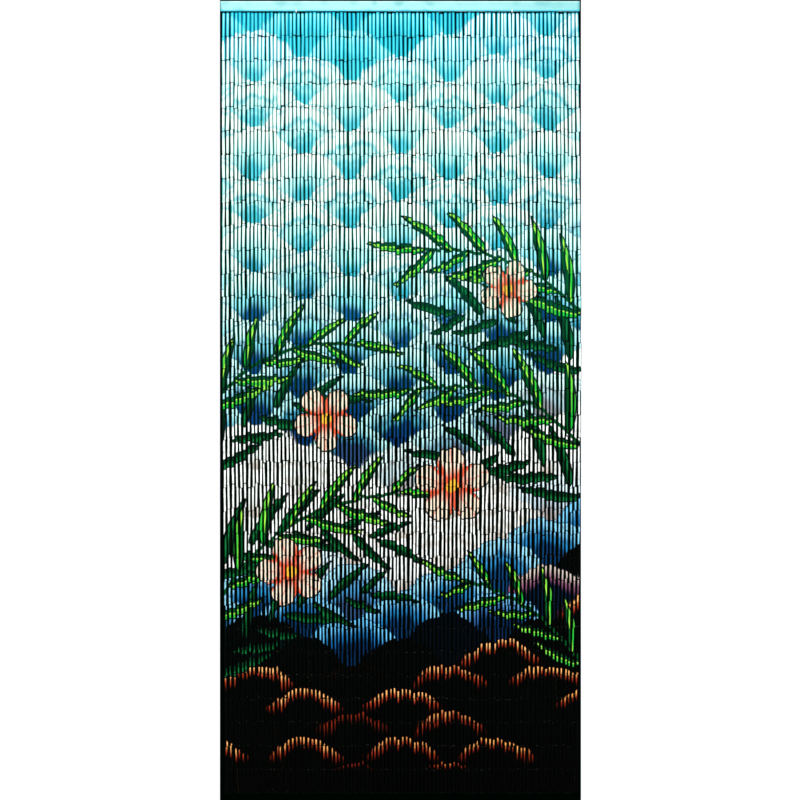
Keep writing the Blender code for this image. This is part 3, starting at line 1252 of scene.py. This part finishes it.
def rail_paint():
    """Pale aqua brushed on wood: streaks along the rail, a painted highlight on its upper part, painted
    shade in deeper teal on its lower edge and underside, and worn corners.
    """
    material, tree, shader = new_material("rail_paint")
    place = object_place(tree)
    _, _, z = separated(place)
    streak = noise(stretched(place, STREAK_STRETCH), 1.0, 4.0, 0.6)
    patch = noise(stretched(place, PATCH_STRETCH), 1.0)
    paint = mix(streak, *RAIL_STREAKS)
    paint = mix(patch * 0.40, paint, RAIL_PATCH)
    # The upper part lighter as a painted highlight, the lower edge and underside a deeper teal as
    # painted shade
    for start, end, strength, colour in RAIL_HIGHLIGHT_AND_SHADE_BANDS:
        paint = mix(between(z, start, end) * strength, paint, colour)
    grain = noise(stretched(place, GRAIN_STRETCH), 1.0, 4.0, 0.65)
    worn = noise(stretched(place, WEAR_STRETCH), 1.0, 3.0, 0.7)
    paint = mix(between(worn, *WORN), paint, mix(grain, *RAIL_WOOD))
    plug(shader.inputs["Base Color"], paint)
    plug(shader.inputs["Roughness"], streak * 0.20 + 0.34)
    plug(shader.inputs["Normal"], bump(grain + streak * 0.6, 0.35, 0.0004))
    shader.inputs["Coat Weight"].default_value = 0.15
    shader.inputs["Coat Roughness"].default_value = 0.25
    return material


def point_paint():
    """Off-white, a little soiled."""
    material, shader, _ = in_patches("point_paint", 300.0, POINT_PAINT)
    shader.inputs["Roughness"].default_value = 0.45
    return material


def add_points():
    """The two small pale points that stand at the rail's lower front edge."""
    body = bmesh.new()
    for x in POINT_PLACES:
        made = bmesh.ops.create_cone(
            body, cap_ends=True, segments=POINT_SIDES,
            radius1=POINT_TIP, radius2=POINT_RADIUS, depth=POINT_LENGTH,
        )
        middle_z = rail_low.z + POINT_ABOVE_EDGE - POINT_LENGTH / 2
        bmesh.ops.translate(body, verts=made["verts"], vec=(x, rail_low.y + POINT_RADIUS / 3, middle_z))
    rims = [edge for edge in body.edges if edge.calc_face_angle(0.0) > POINT_RIM]
    bmesh.ops.bevel(body, geom=rims, offset=POINT_ROUND, segments=3, affect="EDGES", profile=0.5)
    piece = finished("rail_points", body, point_paint())
    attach(piece, "root")


# Studio


def add_plane(name, corners, material):
    mesh = bpy.data.meshes.new(name)
    mesh.from_pydata(corners, [], [(0, 1, 2, 3)])
    mesh.materials.append(material)
    placed(name, mesh)


def plain(name, colour, roughness, shine):
    material, _, shader = new_material(name)
    shader.inputs["Base Color"].default_value = colour
    shader.inputs["Roughness"].default_value = roughness
    shader.inputs["Specular IOR Level"].default_value = shine
    return material


def add_area_light(name, location, size, power, target):
    light = bpy.data.lights.new(name, "AREA")
    light.shape = "RECTANGLE"
    light.size, light.size_y = size
    light.energy = power
    lamp = placed(name, light)
    lamp.location = location
    direction = Vector(target) - Vector(location)
    lamp.rotation_euler = direction.to_track_quat("-Z", "Y").to_euler()


def add_studio(camera):
    """A pale floor, a white backdrop, a dark card far behind that fills the curtain's own outline
    as the photograph's ground does, and soft lights."""
    low, high = cad_box
    floor_z = low[2] - FLOOR_DROP
    floor = plain("floor", FLOOR_COLOUR, 0.7, 0.5)
    near, far = FLOOR_FROM, FLOOR_TO
    add_plane("floor", [
        (-FLOOR_SIDE, near, floor_z), (FLOOR_SIDE, near, floor_z),
        (FLOOR_SIDE, far, floor_z), (-FLOOR_SIDE, far, floor_z),
    ], floor)
    eye = camera.location
    grow = (CARD_AWAY - eye.y) / ((low[1] + high[1]) / 2 - eye.y)
    left, right = ((column - PHOTO_SIDE / 2) * METRES_A_PIXEL * grow for column in CARD_COLUMNS)
    half_frame = PHOTO_SIDE / RAIL_PIXELS * high[0] * CARD_OVERLAP
    top = eye.z + half_frame * grow
    bottom = eye.z - half_frame * grow
    card = plain("card", CARD_COLOUR, 1.0, 0.0)
    add_plane("card", [
        (left, CARD_AWAY, bottom), (right, CARD_AWAY, bottom),
        (right, CARD_AWAY, top), (left, CARD_AWAY, top),
    ], card)
    middle = (0.0, 0.0, (low[2] + high[2]) / 2)
    for light in LIGHTS:
        add_area_light(*light, middle)
    world = bpy.data.worlds.new("studio")
    world.use_nodes = True
    tree = world.node_tree
    backdrop = tree.nodes["Background"]
    backdrop.inputs["Color"].default_value = SKY_COLOUR
    seen = Value(tree.nodes.new("ShaderNodeLightPath").outputs["Is Camera Ray"])
    plug(backdrop.inputs["Strength"], choose(seen, AMBIENT, BACKDROP))
    bpy.context.scene.world = world
    bpy.context.scene.view_settings.view_transform = "Standard"


def main():
    camera = add_camera()
    add_rail()
    add_points()
    layout = lay_out_tubes(*read_strands())
    add_tubes(layout)
    add_links(layout)
    add_staples(layout)
    add_studio(camera)


main()
